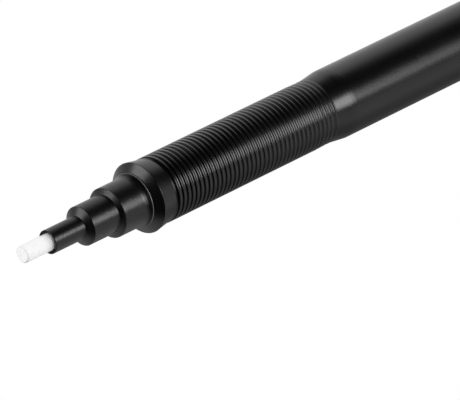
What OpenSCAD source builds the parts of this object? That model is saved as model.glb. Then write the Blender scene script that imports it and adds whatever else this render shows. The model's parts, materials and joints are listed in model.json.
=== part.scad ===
// Click-action eraser pen: a thin eraser stick fed through a stepped nozzle.
// The pen's axis is +X, from the eraser's rubbing face at the origin to the push button.
// +Z is up while the pen lies on a table, where the clip keeps it from rolling.

/* [Eraser] */
// Diameter of the eraser stick
eraser_d = 2.3; // [2.3:0.05:2.35]
// Length of a new eraser stick
eraser_len = 88; // [60:1:90]
// Length of eraser that stands out of the guide sleeve
eraser_out = 4.5; // [3:0.1:5]

/* [Nozzle] */
// Diameter of the guide sleeve at the tip
sleeve_d = 3.25; // [3.15:0.05:3.35]
// Diameter of the small step
step_small_d = 5.34; // [5.2:0.02:5.5]
// Diameter of the large step
step_large_d = 6.8; // [6.7:0.05:6.9]
// Where the small step starts
step_small_x = 9.7; // [9.6:0.05:9.8]
// Where the large step starts
step_large_x = 14.7; // [14.6:0.05:14.8]
// Where the nozzle meets the barrel
nozzle_end_x = 19.75; // [19.65:0.05:19.85]

/* [Barrel] */
// Diameter of the plain barrel
barrel_d = 9.6; // [9.4:0.05:9.8]
// Diameter over the ribs of the grip
grip_d = 9.03; // [8.95:0.01:9.1]
// Largest diameter of the collar in front of the grip
collar_d = 9.65; // [9.55:0.05:9.75]
// Where the rear end of the barrel is
barrel_end_x = 116.9; // [112:0.1:120]

/* [Grip] */
// Number of grooves round the grip
groove_count = 38; // [30:1:38]
// Distance from one groove to the next
groove_pitch = 0.7755; // [0.7:0.0005:0.776]
// Depth of the first groove
groove_depth = 0.2; // [0.1:0.01:0.25]
// Width of a groove at its mouth
groove_w = 0.38; // [0.26:0.01:0.42]

/* [Clip] */
// Width of the clip
clip_w = 3.6; // [3:0.1:4]
// Thickness of the clip's sheet
clip_t = 0.6; // [0.5:0.05:0.6]
// How far below level the clip points while the pen lies on a table
clip_angle = 23; // [15:1:60]

/* [Push button] */
// Diameter of the push button
button_d = 6.2; // [6:0.05:6.2]
// Length of the button that shows behind the barrel
button_out = 9; // [7:0.5:10]
// How far the button travels
press_travel = 4; // [3:0.5:4]

/* [Return spring] */
// Number of curls in the spring
spring_curls = 9; // [6:1:11]
// Diameter of the spring wire
spring_wire_d = 0.45; // [0.35:0.05:0.45]

/* [Hidden] */
$fn = 96;

// Gap between pieces that are pressed or screwed together, and between pieces that slide
seat_gap = 0.02;
slide_gap = 0.05;

// Colours
black_satin = [0.07, 0.07, 0.075];
black_matte = [0.1, 0.1, 0.105];
vinyl_white = [0.94, 0.94, 0.93];
brass = [0.78, 0.62, 0.3];
steel = [0.7, 0.7, 0.72];
resin_white = [0.85, 0.85, 0.82];
resin_grey = [0.45, 0.46, 0.48];
rubber_grey = [0.2, 0.2, 0.22];

// Radii that follow from the driving diameters
eraser_r = eraser_d / 2;
sleeve_r = sleeve_d / 2;
small_r = step_small_d / 2;
large_r = step_large_d / 2;
barrel_r = barrel_d / 2;
grip_r = grip_d / 2;
collar_r = collar_d / 2;
button_r = button_d / 2;

// Stations inside the nozzle
sleeve_seat_x = step_small_x - 0.15;
sleeve_end_x = 13.0;
shank_r = 1.4;
friction_end_x = 15.4;
ring_stop_x = 20.0;
spigot_end_x = 27.0;
spigot_r = 3.4;
cavity_r = 2.62;
spigot_bore_r = 2.95;
friction_r = 2.13;

// Stations of the chuck
jaw_front_x = 20.2;
cavity_x = jaw_front_x - press_travel - 0.6;
jaw_root_x = 29.6;
ring_x = 21.0;
ring_len = 3.0;
ring_r = 2.85;
head_r = 2.25;
neck_r = 1.75;
spring_neck_r = 1.5;
head_end_x = 25.2;
chuck_r = 1.8;
chuck_bore_r = 1.3;
chuck_end_x = 46.0;
jaw_slit = 0.3;
jaw_grip_len = 3.6;

// Stations of the housing, the spring and the feed tube
housing_end_x = 30.5;
bore_r = 3.1;
spring_end_x = 43.0;
spring_r = 2.45;
flange_r = 2.95;
tube_x = 47.0;
tube_end_x = 121.0;
tube_r = 2.3;
tube_bore_r = 1.35;
connector_end_x = 51.0;
connector_r = 2.75;

// Stations of the barrel
collar_x = 20.6;
band_end_x = 23.06;
band_end_r = 4.42;
groove_x = 23.53;
groove_fade = 20;
last_fade = 4;
flare_x = 52.7;
flare_end_x = 55.75;
flare_foot_r = 4.43;

// Stations of the rear end
socket_len = 5.0;
socket_r = 3.92;
ferrule_len = 5.0;
ferrule_x = barrel_end_x + clip_t;
ferrule_end_x = ferrule_x + ferrule_len;
button_end_x = ferrule_end_x + button_out;
button_wall = 0.35;
button_cap_t = 1.2;
plug_r = button_r - button_wall - seat_gap;
plug_len = 8.0;

// Clip: the arm bends off the lug, runs forward and dips to touch the barrel
lug_top_r = 5.9;
clip_pivot_x = barrel_end_x + clip_t / 2;
clip_pivot_r = lug_top_r + clip_t / 2 + 0.01;
clip_arm_r = 7.35;
clip_bend_r = 0.9;
clip_touch_x = 89.5;
clip_tip_x = 86.0;
clip_steps = 40;

// The arc of radius r that rounds a corner between its two neighbours, in chords of up to 15 deg
function unit(v) = v / norm(v);
function arc_at(before, corner, after, r) = let (
  u = unit(before - corner),
  w = unit(after - corner),
  half = acos(u * w) / 2,
  centre = corner + unit(u + w) * r / sin(half),
  start = corner + u * r / tan(half) - centre,
  stop = corner + w * r / tan(half) - centre,
  a = atan2(start.y, start.x),
  full = atan2(stop.y, stop.x) - a,
  sweep = full > 180 ? full - 360 : full < -180 ? full + 360 : full,
  steps = ceil(abs(sweep) / 15)
) [for (i = [0:steps]) centre + r * [cos(a + sweep * i / steps), sin(a + sweep * i / steps)]];

// An outline is a list of [radius, distance along the axis], with a third value where the
// corner is rounded
function flat(point) = [point.x, point.y];
function rounded(outline) = [
  for (i = [0:len(outline) - 1]) each is_undef(outline[i].z) ? [flat(outline[i])] : arc_at(
    flat(outline[i - 1]), flat(outline[i]), flat(outline[i + 1]), outline[i].z
  )
];

// A turned piece
module turned(outline) {
  rotate([0, 90, 0]) rotate_extrude() polygon(rounded(outline));
}

// A plain round tube between two stations
module tube(r_out, r_in, x_from, x_to) {
  turned([[r_in, x_from], [r_out, x_from], [r_out, x_to], [r_in, x_to]]);
}

module eraser_stick() {
  color(vinyl_white) turned([[0, 0], [eraser_r, 0, 0.2], [eraser_r, eraser_len], [0, eraser_len]]);
}

// A thin tube with a countersunk mouth; its narrower shank is pressed into the nozzle
module guide_sleeve() {
  mouth = 0.15;
  bore = eraser_r + slide_gap;
  color(black_satin) turned([
    [bore + mouth, eraser_out], [sleeve_r, eraser_out, 0.08], [sleeve_r, sleeve_seat_x],
    [shank_r, sleeve_seat_x], [shank_r, sleeve_end_x], [bore, sleeve_end_x],
    [bore, eraser_out + 2 * mouth]
  ]);
}

// Two steps with a shallow cone for a shoulder, then a flared lip against the barrel
module nozzle() {
  small_cone = 0.6;
  large_cone = 0.36;
  root = 0.12;
  rim = 0.08;
  bore = shank_r + seat_gap;
  seat_r = friction_r + seat_gap;
  lip_r = 3.78;
  lip_x = nozzle_end_x - 0.15;
  flare_len = 0.8;
  color(black_satin) turned([
    [bore, sleeve_seat_x], [sleeve_r, sleeve_seat_x], [sleeve_r, step_small_x, root],
    [small_r, step_small_x + small_cone, rim], [small_r, step_large_x, root],
    [large_r, step_large_x + large_cone, rim], [large_r, lip_x - flare_len, 1.3],
    [lip_r, lip_x, 0.1], [spigot_r + 0.2, nozzle_end_x], [spigot_r, nozzle_end_x],
    [spigot_r, spigot_end_x], [spigot_bore_r, spigot_end_x], [spigot_bore_r, ring_stop_x],
    [cavity_r, ring_stop_x], [cavity_r, cavity_x], [seat_r, cavity_x], [seat_r, sleeve_end_x],
    [bore, sleeve_end_x]
  ]);
}

// Rubber ring whose inner lip holds the eraser while the chuck goes back for another bite
module friction_ring() {
  lip_r = eraser_r + seat_gap;
  mid = (sleeve_end_x + friction_end_x) / 2;
  color(rubber_grey) turned([
    [shank_r, sleeve_end_x], [friction_r, sleeve_end_x], [friction_r, friction_end_x],
    [1.7, friction_end_x], [lip_r, mid + 0.3], [lip_r, mid - 0.3]
  ]);
}

// How strong the last few grooves are, where the grip runs out
function ending(k) = min(1, (groove_count - k) / last_fade);

// Crest radius at groove k: it eases down to the foot of the flare
function crest(k) = flare_foot_r + (grip_r - flare_foot_r) * ending(k);

// A groove, then half of the land behind it. The grooves get shallower towards the rear; the
// front wall is steep, the rear wall rounds off, and the tool raised a fine lip on either side
function groove(k) = let (
  x = groove_x + k * groove_pitch,
  r = crest(k),
  half = groove_w / 2,
  depth = groove_depth * exp(-k / groove_fade) * ending(k),
  lip = 0.01
) [
  [r + lip, x - half], [r - depth, x - 0.7 * half], [r - depth, x - 0.1 * half],
  [r - 0.35 * depth, x + 0.35 * half], [r - 0.08 * depth, x + 0.7 * half],
  [r + lip, x + half], [r, x + groove_pitch / 2]
];

// One long piece: collar, ribbed grip, flare and plain barrel
module barrel() {
  bore = spigot_r + seat_gap;
  color(black_matte) turned(concat(
    [
      [bore, nozzle_end_x], [spigot_r + 0.22, nozzle_end_x], [3.81, nozzle_end_x + 0.09, 0.05],
      [collar_r + 0.01, collar_x, 0.08], [band_end_r, band_end_x]
    ],
    [for (k = [0:groove_count - 1]) each groove(k)],
    [
      [flare_foot_r, flare_x, 1.2], [barrel_r, flare_end_x, 1.2],
      [barrel_r, barrel_end_x, 0.1],
      [socket_r, barrel_end_x], [socket_r, barrel_end_x - socket_len],
      [bore_r, barrel_end_x - socket_len], [bore_r, housing_end_x], [bore, housing_end_x]
    ]
  ));
}

// Trapped between the end of the nozzle and a step in the barrel; it stops the chuck ring
module chuck_housing() {
  bore = chuck_r + 0.15;
  front_r = spigot_bore_r - seat_gap;
  color(resin_grey) turned([
    [bore, ring_x + ring_len], [front_r, ring_x + ring_len], [front_r, spigot_end_x],
    [spigot_r, spigot_end_x], [spigot_r, housing_end_x], [bore, housing_end_x]
  ]);
}

// Radius of the closed jaws at a station on their cone
function cone_r(x) = neck_r + (head_r - neck_r) * (head_end_x - x) / (head_end_x - ring_x);

// The ring's bore is the cone of the jaws, so that it draws them shut
module chuck_ring() {
  wedge_gap = 0.03;
  edge = 0.15;
  color(brass) turned([
    [cone_r(ring_x) + wedge_gap, ring_x], [ring_r - edge, ring_x], [ring_r, ring_x + edge],
    [ring_r, ring_x + ring_len - edge], [ring_r - edge, ring_x + ring_len],
    [cone_r(ring_x + ring_len) + wedge_gap, ring_x + ring_len]
  ]);
}

module chuck_sleeve() {
  color(brass) tube(chuck_r, chuck_bore_r, jaw_root_x, chuck_end_x);
}

// One third of the split head, with teeth cut across its gripping bore
module chuck_jaw(turn) {
  root_gap = 0.03;
  grip = eraser_r + seat_gap;
  tooth = 0.6;
  teeth = [for (i = [5:-1:0]) each [
    [grip + 0.12, jaw_front_x + (i + 0.75) * tooth], [grip, jaw_front_x + (i + 0.25) * tooth]
  ]];
  reach = 6;
  apex = jaw_slit / 2 / sin(60);
  color(brass) rotate([turn, 0, 0]) intersection() {
    turned(concat(
      [
        [grip, jaw_front_x], [head_r - 0.3, jaw_front_x], [head_r, jaw_front_x + 0.3],
        [head_r, ring_x], [neck_r, head_end_x], [spring_neck_r, head_end_x + 0.9],
        [spring_neck_r, jaw_root_x - 1.1], [chuck_r, jaw_root_x - 0.8],
        [chuck_r, jaw_root_x - root_gap], [chuck_bore_r, jaw_root_x - root_gap],
        [chuck_bore_r, jaw_front_x + jaw_grip_len + 0.2]
      ],
      teeth
    ));
    rotate([0, 90, 0]) linear_extrude(jaw_root_x + 1) polygon([
      [0, apex], [reach * sin(60), apex + reach * cos(60)], [0, apex + 2 * reach],
      [-reach * sin(60), apex + reach * cos(60)]
    ]);
  }
}

// One unbroken wire: each end lies flat for most of a turn, and the curls between are even
spring_rings = 8;
spring_sides = 6;
spring_wire_r = spring_wire_d / 2;
spring_span = spring_end_x - housing_end_x - spring_wire_d;
flat_turn = 0.75;
function spring_rise(turn) = let (
  climb = spring_curls - 2 * flat_turn,
  flat_rise = spring_wire_d + 0.42,
  low = min(turn, flat_turn) / flat_turn,
  high = max(0, turn - spring_curls + flat_turn) / flat_turn,
  mid = max(0, min(climb, turn - flat_turn)) / climb
) flat_rise * (low + high) + (spring_span - 2 * flat_rise) * mid;
function spring_point(turn) = [
  housing_end_x + spring_wire_r + spring_rise(turn),
  spring_r * cos(360 * turn),
  spring_r * sin(360 * turn)
];
spring_path = [for (i = [0:spring_curls * spring_rings]) spring_point(i / spring_rings)];
spring_least_gap = min([
  for (i = [0:len(spring_path) - 1 - spring_rings])
    norm(spring_path[i + spring_rings] - spring_path[i])
]) - spring_wire_d;
echo(spring_least_gap = spring_least_gap);

module return_spring() {
  last = len(spring_path) - 1;
  points = [for (i = [0:last]) each [
    for (j = [0:spring_sides - 1]) let (
      turn = 360 * i / spring_rings,
      side = 360 * j / spring_sides,
      r = spring_r + spring_wire_r * cos(side)
    ) [spring_path[i].x + spring_wire_r * sin(side), r * cos(turn), r * sin(turn)]
  ]];
  skin = [for (i = [0:last - 1]) each [
    for (j = [0:spring_sides - 1]) let (
      a = i * spring_sides + j,
      b = i * spring_sides + (j + 1) % spring_sides
    ) each [[a, b, b + spring_sides], [a, b + spring_sides, a + spring_sides]]
  ]];
  foot = [for (j = [1:spring_sides - 2]) [0, j + 1, j]];
  head = [for (j = [1:spring_sides - 2])
    [last * spring_sides, last * spring_sides + j, last * spring_sides + j + 1]];
  color(steel) polyhedron(points, concat(skin, foot, head));
}

// Joins the chuck to the feed tube, and its flange takes the spring
module tube_connector() {
  chuck_socket_r = chuck_r + seat_gap;
  tube_socket_r = tube_r + seat_gap;
  flange_t = 1.2;
  color(resin_grey) turned([
    [chuck_socket_r, spring_end_x], [flange_r, spring_end_x],
    [flange_r, spring_end_x + flange_t], [connector_r, spring_end_x + flange_t],
    [connector_r, connector_end_x], [tube_socket_r, connector_end_x],
    [tube_socket_r, tube_x], [chuck_bore_r, tube_x], [chuck_bore_r, chuck_end_x],
    [chuck_socket_r, chuck_end_x]
  ]);
}

module feed_tube() {
  color(resin_white) tube(tube_r, tube_bore_r, tube_x, tube_end_x);
}

// Fills the button, and its spigot plugs the end of the feed tube
module button_plug() {
  spigot = tube_bore_r - seat_gap;
  color(resin_grey) turned([
    [0, tube_end_x - plug_len], [spigot - 0.2, tube_end_x - plug_len],
    [spigot, tube_end_x - plug_len + 0.4], [spigot, tube_end_x], [plug_r, tube_end_x],
    [plug_r, button_end_x - button_cap_t], [0, button_end_x - button_cap_t]
  ]);
}

// A thin cap with a rounded rim and a shallow dish where the thumb presses
module push_button() {
  inner_r = button_r - button_wall;
  skirt_x = ferrule_x;
  round_r = 0.6;
  dish = 0.25;
  color(black_satin) turned([
    [inner_r, skirt_x], [button_r, skirt_x, 0.1], [button_r, button_end_x, round_r],
    [button_r - round_r - 0.4, button_end_x], [0, button_end_x - dish],
    [0, button_end_x - button_cap_t], [inner_r, button_end_x - button_cap_t]
  ]);
}

// Screws into the barrel, traps the clip's ring, and guides the button
module rear_ferrule() {
  bore = button_r + 0.08;
  spigot = socket_r - seat_gap;
  color(black_satin) turned([
    [bore, barrel_end_x - socket_len], [spigot, barrel_end_x - socket_len],
    [spigot, ferrule_x], [barrel_r, ferrule_x, 0.08], [barrel_r, ferrule_end_x, 0.8],
    [bore + 0.15, ferrule_end_x], [bore, ferrule_end_x - 0.15]
  ]);
}

// Turns what stands along +Y to the side where the clip is
module clip_side() {
  rotate([-clip_angle, 0, 0]) children();
}

// A side view in [distance along the axis, radius], given the clip's width
module clip_plate(width) {
  translate([0, 0, -width / 2]) linear_extrude(width) children();
}

// A washer between the barrel and the ferrule, with the lug that carries the arm
module clip_ring() {
  color(black_satin) clip_side() difference() {
    union() {
      tube(barrel_r, 0, barrel_end_x, ferrule_x);
      translate([barrel_end_x, 0, -clip_w / 2]) cube([clip_t, lug_top_r, clip_w]);
    }
    rotate([0, 90, 0]) cylinder(h = ferrule_end_x, r = socket_r);
  }
}

// Middle line of the arm from its tip, which turns up, past the dip to the bend
clip_touch_r = barrel_r + 0.03 + clip_t / 2;
clip_flat_x = clip_pivot_x - clip_bend_r;
clip_run = clip_flat_x - clip_touch_x;
function clip_line(x) = let (
  along = (x - clip_touch_x) / clip_run,
  dip = 1.5
) x < clip_touch_x
  ? clip_touch_r + 0.5 * (sqrt(1 + pow((clip_touch_x - x) / dip, 2)) - 1)
  : clip_touch_r + 0.75 * (1 - exp(-pow((x - clip_touch_x) / dip / 1.6, 2)))
    + (clip_arm_r - clip_touch_r - 0.75) * sin(90 * along);
clip_middle = concat(
  [for (i = [0:clip_steps]) let (
    x = clip_tip_x + (clip_flat_x - clip_tip_x) * pow(i / clip_steps, 1.5)
  ) [x, clip_line(x)]],
  [for (a = [75:-15:0]) [
    clip_flat_x + clip_bend_r * cos(a), clip_arm_r - clip_bend_r + clip_bend_r * sin(a)
  ]],
  [[clip_pivot_x, clip_pivot_r]]
);
function across(a, b) = let (d = b - a) [-d.y, d.x] / norm(d);
function clip_normal(i) = across(
  clip_middle[max(0, i - 1)], clip_middle[min(len(clip_middle) - 1, i + 1)]
);
function clip_face(side) = [
  for (i = [0:len(clip_middle) - 1]) clip_middle[i] + side * clip_t / 2 * clip_normal(i)
];
function reversed(list) = [for (i = [len(list) - 1:-1:0]) list[i]];

module clip_arm() {
  tip_w = 2.8;
  color(black_satin) clip_side() intersection() {
    union() {
      clip_plate(clip_w) polygon(concat(clip_face(1), reversed(clip_face(-1))));
      clip_plate(clip_w) translate([clip_pivot_x, clip_pivot_r]) circle(clip_t / 2);
    }
    rotate([90, 0, 0]) translate([0, 0, -10]) linear_extrude(20) union() {
      translate([clip_tip_x + tip_w / 2, 0]) circle(tip_w / 2 + 0.2);
      polygon([
        [clip_tip_x + tip_w / 2, -tip_w / 2 - 0.2], [clip_pivot_x + 1, -clip_w / 2 - 0.1],
        [clip_pivot_x + 1, clip_w / 2 + 0.1], [clip_tip_x + tip_w / 2, tip_w / 2 + 0.2]
      ]);
    }
  }
}

eraser_stick();
guide_sleeve();
nozzle();
friction_ring();
barrel();
chuck_housing();
chuck_ring();
chuck_sleeve();
chuck_jaw(0);  // chuck_jaw_1
chuck_jaw(120);  // chuck_jaw_2
chuck_jaw(240);  // chuck_jaw_3
return_spring();
tube_connector();
feed_tube();
button_plug();
push_button();
rear_ferrule();
clip_ring();
clip_arm();
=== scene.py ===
"""Looks of a click-action eraser pen: a finish for each material, soft studio light and the camera."""

import json
import math

import bpy
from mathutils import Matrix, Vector


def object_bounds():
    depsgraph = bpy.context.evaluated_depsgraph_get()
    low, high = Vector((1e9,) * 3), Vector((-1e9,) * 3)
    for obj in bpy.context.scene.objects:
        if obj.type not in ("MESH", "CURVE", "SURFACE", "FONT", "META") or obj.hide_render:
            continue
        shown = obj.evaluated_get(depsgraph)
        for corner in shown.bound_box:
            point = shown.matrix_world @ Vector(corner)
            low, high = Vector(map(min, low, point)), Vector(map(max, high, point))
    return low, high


MM = 0.001
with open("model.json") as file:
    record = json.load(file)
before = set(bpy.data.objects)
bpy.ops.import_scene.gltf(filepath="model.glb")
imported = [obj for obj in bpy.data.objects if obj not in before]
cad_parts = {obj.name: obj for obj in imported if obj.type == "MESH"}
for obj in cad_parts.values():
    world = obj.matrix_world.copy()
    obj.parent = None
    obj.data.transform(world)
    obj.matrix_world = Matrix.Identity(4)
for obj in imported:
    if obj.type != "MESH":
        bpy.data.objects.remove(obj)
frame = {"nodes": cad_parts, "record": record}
cad_low, cad_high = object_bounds()
nodes = frame["nodes"]

# Camera: the photograph's view of the pen, from in front of the tip and above it
IMAGE_W, IMAGE_H = 460, 400
VIEW_ELEVATION = math.radians(29.03)
VIEW_TURN = math.radians(44.87)
VIEW_DISTANCE = 839.4 * MM
FOCAL_PIXELS = 6501.5
AIM_X = 35.03 * MM
AIM_PIXEL = (218.44, 159.0)
SENSOR = 36.0


def add_camera():
    """The point AIM_X along the pen's axis lands on AIM_PIXEL, by turning the camera, with no shift."""
    c, s = math.cos(VIEW_ELEVATION), math.sin(VIEW_ELEVATION)
    forward = Vector((c * math.cos(VIEW_TURN), c * math.sin(VIEW_TURN), -s))
    right = forward.cross(Vector((0, 0, 1))).normalized()
    up = right.cross(forward)
    look = (
        forward * FOCAL_PIXELS
        + right * (IMAGE_W / 2 - AIM_PIXEL[0])
        - up * (IMAGE_H / 2 - AIM_PIXEL[1])
    )
    data = bpy.data.cameras.new("camera")
    data.sensor_width = SENSOR
    data.lens = look.length * SENSOR / IMAGE_W
    data.clip_start, data.clip_end = 0.01, 20
    camera = bpy.data.objects.new("camera", data)
    camera.location = Vector((AIM_X, 0, 0)) - forward * VIEW_DISTANCE
    camera.rotation_mode = "QUATERNION"
    camera.rotation_quaternion = look.to_track_quat("-Z", "Y")
    bpy.context.scene.collection.objects.link(camera)
    bpy.context.scene.camera = camera


class Graph:
    """Short calls for building a node tree."""

    def __init__(self, tree):
        self.tree = tree
        tree.nodes.clear()

    def add(self, kind, inputs=None, **settings):
        """Adds a node. Each input is a socket, which is linked, or a value, which is set."""
        node = self.tree.nodes.new(kind)
        for key, value in settings.items():
            setattr(node, key, value)
        for key, value in (inputs or {}).items():
            if isinstance(value, bpy.types.NodeSocket):
                self.tree.links.new(value, node.inputs[key])
            else:
                node.inputs[key].default_value = value
        return node

    def math(self, operation, a, b=0.0):
        return self.add("ShaderNodeMath", {0: a, 1: b}, operation=operation).outputs[0]

    def plus(self, a, b):
        return self.math("ADD", a, b)

    def minus(self, a, b):
        return self.math("SUBTRACT", a, b)

    def times(self, a, b):
        return self.math("MULTIPLY", a, b)

    def vector(self, operation, a, b):
        return self.add("ShaderNodeVectorMath", {0: a, 1: b}, operation=operation).outputs["Vector"]

    def scaled(self, vector, factor):
        return self.add(
            "ShaderNodeVectorMath", {0: vector, "Scale": factor}, operation="SCALE"
        ).outputs["Vector"]

    def bump(self, height):
        """The normal of a surface with this height, in metres."""
        return self.add(
            "ShaderNodeBump", {"Height": height, "Strength": 1.0, "Distance": 1.0}
        ).outputs["Normal"]

    def noise(self, vector, size, detail=3.0):
        """Cloudy noise about 0.5, with spots of the given size."""
        return self.add(
            "ShaderNodeTexNoise", {"Vector": vector, "Scale": 1 / size, "Detail": detail}
        ).outputs["Fac"]

    def spread(self, value, low, high):
        """Maps the middle of a noise's range, 0.3 to 0.7, to low and high."""
        return self.add(
            "ShaderNodeMapRange",
            {"Value": value, "From Min": 0.3, "From Max": 0.7, "To Min": low, "To Max": high},
        ).outputs["Result"]

    def ramp(self, value, start, stop):
        """Rises smoothly from 0 at start to 1 at stop; start may be the larger one."""
        flip = start > stop
        ends = {"From Min": stop, "From Max": start} if flip else {"From Min": start, "From Max": stop}
        ends |= {"To Min": 1.0, "To Max": 0.0} if flip else {"To Min": 0.0, "To Max": 1.0}
        return self.add(
            "ShaderNodeMapRange", {"Value": value, **ends}, interpolation_type="SMOOTHSTEP"
        ).outputs["Result"]

    def window(self, value, start, full, fade, stop):
        """0 outside start to stop, 1 between full and fade, and smooth on the way."""
        return self.times(self.ramp(value, start, full), self.ramp(value, stop, fade))

    def less(self, mask, share):
        """1 where the mask is 0, and lower by share where it is 1."""
        return self.minus(1.0, self.times(mask, share))


def grey(level):
    return (level, level, level, 1.0)


# The grooves of the grip and the end of the flare behind it, as in the part's source
GROOVE_X = 23.53 * MM
GROOVE_PITCH = 0.7755 * MM
GROOVE_COUNT = 38
GROOVE_FADE = 20
FLARE_END_X = 55.75 * MM

# Marks of a groove, in pitches from its middle: where each starts, is full, fades and stops
FRONT_LIP = (-0.43, -0.4, -0.33, -0.3)
REAR_LIP = (0.09, 0.12, 0.19, 0.24)
BOTTOM = (-0.34, -0.3, 0.06, 0.24)
VALLEY_FRONT = (-0.44, -0.48)
VALLEY_REAR = (0.24, 0.3)

# How far the surface leans there, as a slope
FRONT_LEAN = 0.16
REAR_LEAN = 0.42
VALLEY_LEAN = 0.2
VALLEY_LEAN_LOST = 0.1

# The corner at the flare's end: its slope, and how far the rounding reaches on either side
FLARE_LEAN = 0.12
FLARE_BLEND = 0.7 * MM


def groove_detail(g, x):
    """Two masks for the grip. The first is how far the surface leans towards the tip, since the tool
    raised a lip on either side of a groove and left a shallow valley between grooves; it is below 0
    where the surface leans away. The second is painted shade: how far down in a groove the surface
    is, which weakens its reflection there. The grooves near the tip, which are deeper, have the
    strongest rear lips and the weakest valleys."""
    count = g.math("DIVIDE", g.minus(x, GROOVE_X), GROOVE_PITCH)
    off = g.minus(count, g.math("ROUND", count))
    ribbed = g.window(count, -0.5, -0.4, GROOVE_COUNT - 0.6, GROOVE_COUNT - 0.5)
    fade = g.math("EXPONENT", g.math("DIVIDE", count, -GROOVE_FADE))
    hollow = g.minus(VALLEY_LEAN, g.times(fade, VALLEY_LEAN_LOST))
    rear_lip = g.times(g.window(off, *REAR_LIP), fade)
    valley = g.plus(g.ramp(off, *VALLEY_REAR), g.ramp(off, *VALLEY_FRONT))
    lean = g.times(g.window(off, *FRONT_LIP), FRONT_LEAN)
    lean = g.minus(lean, g.times(rear_lip, REAR_LEAN))
    lean = g.minus(lean, g.times(valley, hollow))
    groove_shade = g.times(g.window(off, *BOTTOM), g.math("SQRT", fade))
    return g.times(lean, ribbed), g.times(groove_shade, ribbed)


def flare_detail(g, x):
    """Rounds the corner where the flare ends: the surface leans less towards the tip before the
    corner and more behind it."""
    step = g.math("DIVIDE", g.minus(x, FLARE_END_X), FLARE_BLEND)
    near = g.math("MAXIMUM", g.minus(1.0, g.math("ABSOLUTE", step)), 0.0)
    return g.times(g.times(g.math("SIGN", step), near), FLARE_LEAN / 2)


# Sizes of the marks that every hard surface shares
CLOUD_SIZE = 6 * MM
LATHE_RING = 0.2 * MM
GLINT_SPOT = 0.8 * MM
BEND_SOFT = 0.15 * MM
EDGE_SOFT = 0.03 * MM


def satin(
    name, colour, roughness, grain, grain_depth, turned=0.0, metallic=0.0, grooved=False, bend=None,
    lip_glint=None,
):
    """A fine-grained hard surface. grain is the size of the grain and grain_depth its height, in mm;
    turned is the height of the fine rings that a lathe leaves. grooved adds the lips and the painted
    shade in the bottoms of the grip's grooves and the soft end of the flare. bend is a stretch along
    the pen with painted shade, a weaker reflection in the bend before the lip, and the last argument
    is one with a painted highlight, a lighter grey line in place of the lip's glint, both in mm."""
    material = bpy.data.materials.new(name)
    material.use_nodes = True
    g = Graph(material.node_tree)
    place = g.add("ShaderNodeTexCoord").outputs["Object"]
    x = g.add("ShaderNodeSeparateXYZ", {0: place}).outputs["X"]
    fine = g.noise(place, grain * MM, 2.0)
    broad = g.noise(place, CLOUD_SIZE)
    height = g.times(fine, grain_depth * MM)
    if turned:
        along = g.vector("MULTIPLY", place, (1, 0.002, 0.002))
        height = g.plus(height, g.times(g.noise(along, LATHE_RING, 2.0), turned * MM))
    normal = g.bump(height)
    base = g.scaled(colour[:3], g.spread(broad, 0.88, 1.12))
    specular = 0.5
    # Painted shade: a weaker reflection along the bend before the lip, in place of the shade that falls
    # in it
    if bend:
        start, stop = bend[0] * MM, bend[1] * MM
        painted_bend_shade = g.window(x, start - BEND_SOFT, start, stop, stop + EDGE_SOFT)
        specular = g.times(g.less(painted_bend_shade, 0.6), specular)
    # Painted highlight: a lighter grey line along the lip stands in for the glint that light makes on it
    if lip_glint:
        start, stop = lip_glint[0] * MM, lip_glint[1] * MM
        edge = g.window(x, start - EDGE_SOFT, start, stop, stop + EDGE_SOFT)
        painted_glint = g.times(edge, g.spread(g.noise(place, GLINT_SPOT), 0.6, 1.0))
        base = g.add(
            "ShaderNodeMix", {"Factor": painted_glint, "A": base, "B": grey(0.2)}, data_type="RGBA"
        ).outputs["Result"]
    if grooved:
        lean, groove_shade = groove_detail(g, x)
        lean = g.plus(lean, flare_detail(g, x))
        leaned = g.vector("ADD", normal, g.scaled((-1, 0, 0), lean))
        normal = g.add("ShaderNodeVectorMath", {0: leaned}, operation="NORMALIZE").outputs["Vector"]
        # Painted shade: the reflection is weakened in the bottoms of the grooves, in place of the shade
        # that falls there
        specular = g.times(g.less(groove_shade, 0.95), specular)
    rough = g.plus(g.spread(fine, roughness - 0.03, roughness + 0.03), g.spread(broad, -0.02, 0.02))
    shader = g.add(
        "ShaderNodeBsdfPrincipled",
        {
            "Base Color": base,
            "Roughness": rough,
            "Metallic": metallic,
            "Specular IOR Level": specular,
            "Normal": normal,
        },
    )
    g.add("ShaderNodeOutputMaterial", {"Surface": shader.outputs[0]})
    return material


# The eraser's white, and how much darker each mark of painted shade on it is
VINYL_WHITE = (0.92, 0.92, 0.92)
FACE_PAINTED_SHADE = 0.06
RIM_PAINTED_SHADE = 0.17
RING_PAINTED_SHADE = 0.38


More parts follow.
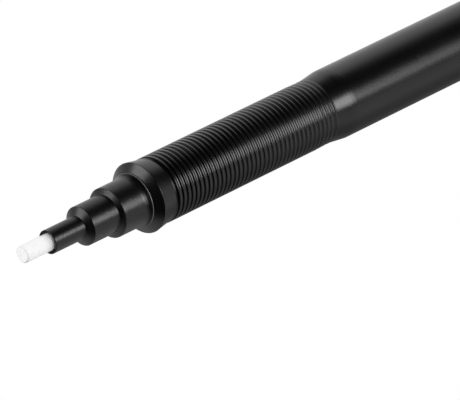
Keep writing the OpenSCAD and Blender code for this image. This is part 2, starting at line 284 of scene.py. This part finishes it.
def vinyl():
    """White eraser vinyl with a soft matt skin, with painted shade: a little on its rubbing face, more
    at the face's rim, and in a ring by the sleeve's mouth, where the sleeve shades it."""
    material = bpy.data.materials.new("eraser_vinyl")
    material.use_nodes = True
    g = Graph(material.node_tree)
    place = g.add("ShaderNodeTexCoord").outputs["Object"]
    parts = g.add("ShaderNodeSeparateXYZ", {0: place})
    x = parts.outputs["X"]
    off_axis = g.add("ShaderNodeCombineXYZ", {"Y": parts.outputs["Y"], "Z": parts.outputs["Z"]})
    radius = g.add("ShaderNodeVectorMath", {0: off_axis.outputs[0]}, operation="LENGTH").outputs["Value"]
    # Painted shade: the face's rim, a ring by the sleeve's mouth and the face itself are greyed in place
    # of the shade that falls there
    rim = g.times(g.ramp(x, 0.3 * MM, 0.05 * MM), g.ramp(radius, 0.9 * MM, 1.05 * MM))
    ring = g.window(x, 2.9 * MM, 4.8 * MM, 5.2 * MM, 6 * MM)
    face = g.ramp(x, 0.08 * MM, 0.03 * MM)
    painted_shade = g.plus(g.times(rim, RIM_PAINTED_SHADE), g.times(ring, RING_PAINTED_SHADE))
    painted_shade = g.plus(painted_shade, g.times(face, FACE_PAINTED_SHADE))
    fine = g.noise(place, 0.3 * MM)
    tone = g.minus(g.spread(fine, 0.985, 1.0), painted_shade)
    shader = g.add(
        "ShaderNodeBsdfPrincipled",
        {
            "Base Color": g.scaled(VINYL_WHITE, tone),
            "Roughness": g.spread(fine, 0.55, 0.62),
            "Specular IOR Level": 0.3,
            "Normal": g.bump(g.times(fine, 0.002 * MM)),
        },
    )
    g.add("ShaderNodeOutputMaterial", {"Surface": shader.outputs[0]})
    return material


BLACK = grey(0.0012)
FINISHES = {
    "barrel_black": satin("barrel_black", BLACK, 0.27, 0.08, 0.002, grooved=True),
    "nozzle_black": satin(
        "nozzle_black", BLACK, 0.3, 0.25, 0.014, turned=0.006, bend=(19.15, 19.5), lip_glint=(19.54, 19.6)
    ),
    "clip_black": satin("clip_black", BLACK, 0.28, 0.07, 0.003),
    "button_black": satin("button_black", BLACK, 0.3, 0.1, 0.005, turned=0.001),
    "chuck_brass": satin(
        "chuck_brass", (0.78, 0.56, 0.22), 0.25, 0.05, 0.002, turned=0.003, metallic=1.0
    ),
    "spring_steel": satin("spring_steel", (0.62, 0.62, 0.64), 0.22, 0.04, 0.001, metallic=1.0),
    "tube_resin": satin("tube_resin", (0.72, 0.72, 0.69), 0.38, 0.2, 0.002),
    "housing_resin": satin("housing_resin", (0.17, 0.175, 0.19), 0.45, 0.1, 0.003),
    "ring_rubber": satin("ring_rubber", (0.03, 0.03, 0.034), 0.65, 0.06, 0.006),
    "eraser_vinyl": vinyl(),
}
for part in frame["record"]["subparts"]:
    mesh = nodes[part["node"]].data
    mesh.materials.clear()
    mesh.materials.append(FINISHES[part["material_slot"]])


# Studio: a white floor under the pen, a bright sweep beyond it, a softbox on either side, and a lamp
# for the pale parts that the black ones don't mirror
FLOOR_Z = cad_low.z
FLOOR_HALF = 6.0
FLOOR_WHITE = 0.65
FLOOR_LEVEL = 0.66
SHADE_UNDER = 0.2
SWEEP_LEVEL = 0.85
LOW_SWEEP_LEVEL = 0.55
DARK_LEVEL = 0.02
LAMP_DISTANCE = 1.0


def add_floor():
    """White and without a shadow to the camera. Reflections pass through it to the world, apart from
    the shade under the barrel."""
    mesh = bpy.data.meshes.new("floor")
    h = FLOOR_HALF
    corners = [(-h, -h, FLOOR_Z), (h, -h, FLOOR_Z), (h, h, FLOOR_Z), (-h, h, FLOOR_Z)]
    mesh.from_pydata(corners, [], [(0, 1, 2, 3)])
    floor = bpy.data.objects.new("floor", mesh)
    bpy.context.scene.collection.objects.link(floor)
    material = bpy.data.materials.new("floor_white")
    material.use_nodes = True
    material.cycles.emission_sampling = "NONE"
    g = Graph(material.node_tree)
    matt = g.add("ShaderNodeBsdfDiffuse", {"Color": grey(FLOOR_WHITE)})
    white = g.add("ShaderNodeEmission", {"Color": grey(1.0), "Strength": 1.0})
    place = g.add("ShaderNodeSeparateXYZ", {0: g.add("ShaderNodeNewGeometry").outputs["Position"]})
    under = g.ramp(g.math("ABSOLUTE", place.outputs["Y"]), 13 * MM, 4 * MM)
    barrel_on = g.ramp(place.outputs["X"], 18 * MM, 28 * MM)
    shade = g.add("ShaderNodeEmission", {"Color": grey(1.0), "Strength": SHADE_UNDER})
    clear = g.add("ShaderNodeBsdfTransparent", {"Color": grey(1.0)})
    mirrored = g.add(
        "ShaderNodeMixShader", {0: g.times(under, barrel_on), 1: clear.outputs[0], 2: shade.outputs[0]}
    )
    path = g.add("ShaderNodeLightPath")
    mixed = g.add(
        "ShaderNodeMixShader",
        {0: path.outputs["Is Glossy Ray"], 1: matt.outputs[0], 2: mirrored.outputs[0]},
    )
    seen = g.add(
        "ShaderNodeMixShader",
        {0: path.outputs["Is Camera Ray"], 1: mixed.outputs[0], 2: white.outputs[0]},
    )
    g.add("ShaderNodeOutputMaterial", {"Surface": seen.outputs[0]})
    mesh.materials.append(material)


def add_world():
    """White to the camera. Reflections see a bright sweep beyond the pen and a lower, dimmer one to
    its right, with darkness overhead, and a lit floor."""
    world = bpy.data.worlds.new("studio")
    bpy.context.scene.world = world
    world.use_nodes = True
    g = Graph(world.node_tree)
    way = g.add("ShaderNodeTexCoord").outputs["Generated"]
    parts = g.add("ShaderNodeSeparateXYZ", {0: way})
    x, y, z = (parts.outputs[axis] for axis in "XYZ")
    away = g.add(
        "ShaderNodeVectorMath", {0: way, 1: (math.cos(VIEW_TURN), math.sin(VIEW_TURN), 0)},
        operation="DOT_PRODUCT",
    ).outputs["Value"]

    # Above the horizon
    beyond = g.times(g.ramp(y, -0.05, 0.45), g.ramp(x, -0.6, 0.3))
    sweep = g.times(beyond, g.ramp(z, 0.85, 0.6))
    low_sweep = g.times(g.ramp(away, -0.3, 0.15), g.ramp(z, 0.42, 0.2))
    above = g.math("MAXIMUM", g.times(sweep, SWEEP_LEVEL), g.times(low_sweep, LOW_SWEEP_LEVEL))

    # The floor darkens towards the camera, steeply below on the far side, and to the left, and the
    # sweep's foot lies on it
    steep = g.times(g.ramp(away, 0.2, 0.7), g.ramp(z, -0.45, -0.65))
    left = g.times(g.ramp(x, -0.3, -0.5), g.ramp(y, 0.3, 0.5))
    lit = g.times(g.ramp(away, -0.74, -0.42), g.less(steep, 0.6))
    lit = g.times(lit, g.less(left, 0.9))
    foot = g.times(beyond, g.ramp(z, -0.6, -0.35))
    below = g.math("MAXIMUM", g.times(lit, FLOOR_LEVEL), g.times(foot, SWEEP_LEVEL))

    glow = g.add(
        "ShaderNodeMix", {"Factor": g.ramp(z, -0.05, 0.02), "A": below, "B": above}
    ).outputs["Result"]
    studio = g.add("ShaderNodeBackground", {"Color": grey(1.0), "Strength": g.plus(glow, DARK_LEVEL)})
    white = g.add("ShaderNodeBackground", {"Color": grey(1.0), "Strength": 1.0})
    seen = g.add("ShaderNodeLightPath").outputs["Is Camera Ray"]
    mixed = g.add("ShaderNodeMixShader", {0: seen, 1: studio.outputs[0], 2: white.outputs[0]})
    g.add("ShaderNodeOutputWorld", {"Surface": mixed.outputs[0]})


def add_softbox(name, turn, elevation, size, radiance, shape="RECTANGLE", mirrored=True):
    """A flat lamp that faces the point the camera aims at. turn is counted from +X towards +Y, and
    reflections don't show a lamp that isn't mirrored."""
    a, e = math.radians(turn), math.radians(elevation)
    way = Vector((math.cos(e) * math.cos(a), math.cos(e) * math.sin(a), math.sin(e)))
    data = bpy.data.lights.new(name, "AREA")
    data.shape = shape
    data.size, data.size_y = size
    fill = math.pi / 4 if shape == "ELLIPSE" else 1
    data.energy = radiance * math.pi * size[0] * size[1] * fill
    lamp = bpy.data.objects.new(name, data)
    lamp.visible_camera = False
    lamp.visible_glossy = mirrored
    lamp.location = Vector((AIM_X, 0, 0)) + way * LAMP_DISTANCE
    lamp.rotation_mode = "QUATERNION"
    lamp.rotation_quaternion = (-way).to_track_quat("-Z", "Y")
    bpy.context.scene.collection.objects.link(lamp)


add_camera()
add_floor()
add_world()
add_softbox("key_right", turn=-70.5, elevation=25, size=(0.72, 0.45), radiance=7.6)
add_softbox("fill_left", turn=147, elevation=25, size=(0.7, 0.64), radiance=4.1, shape="ELLIPSE")
add_softbox("eraser_light", turn=175, elevation=45, size=(0.6, 0.6), radiance=5.2, mirrored=False)
bpy.context.scene.view_settings.view_transform = "Standard"
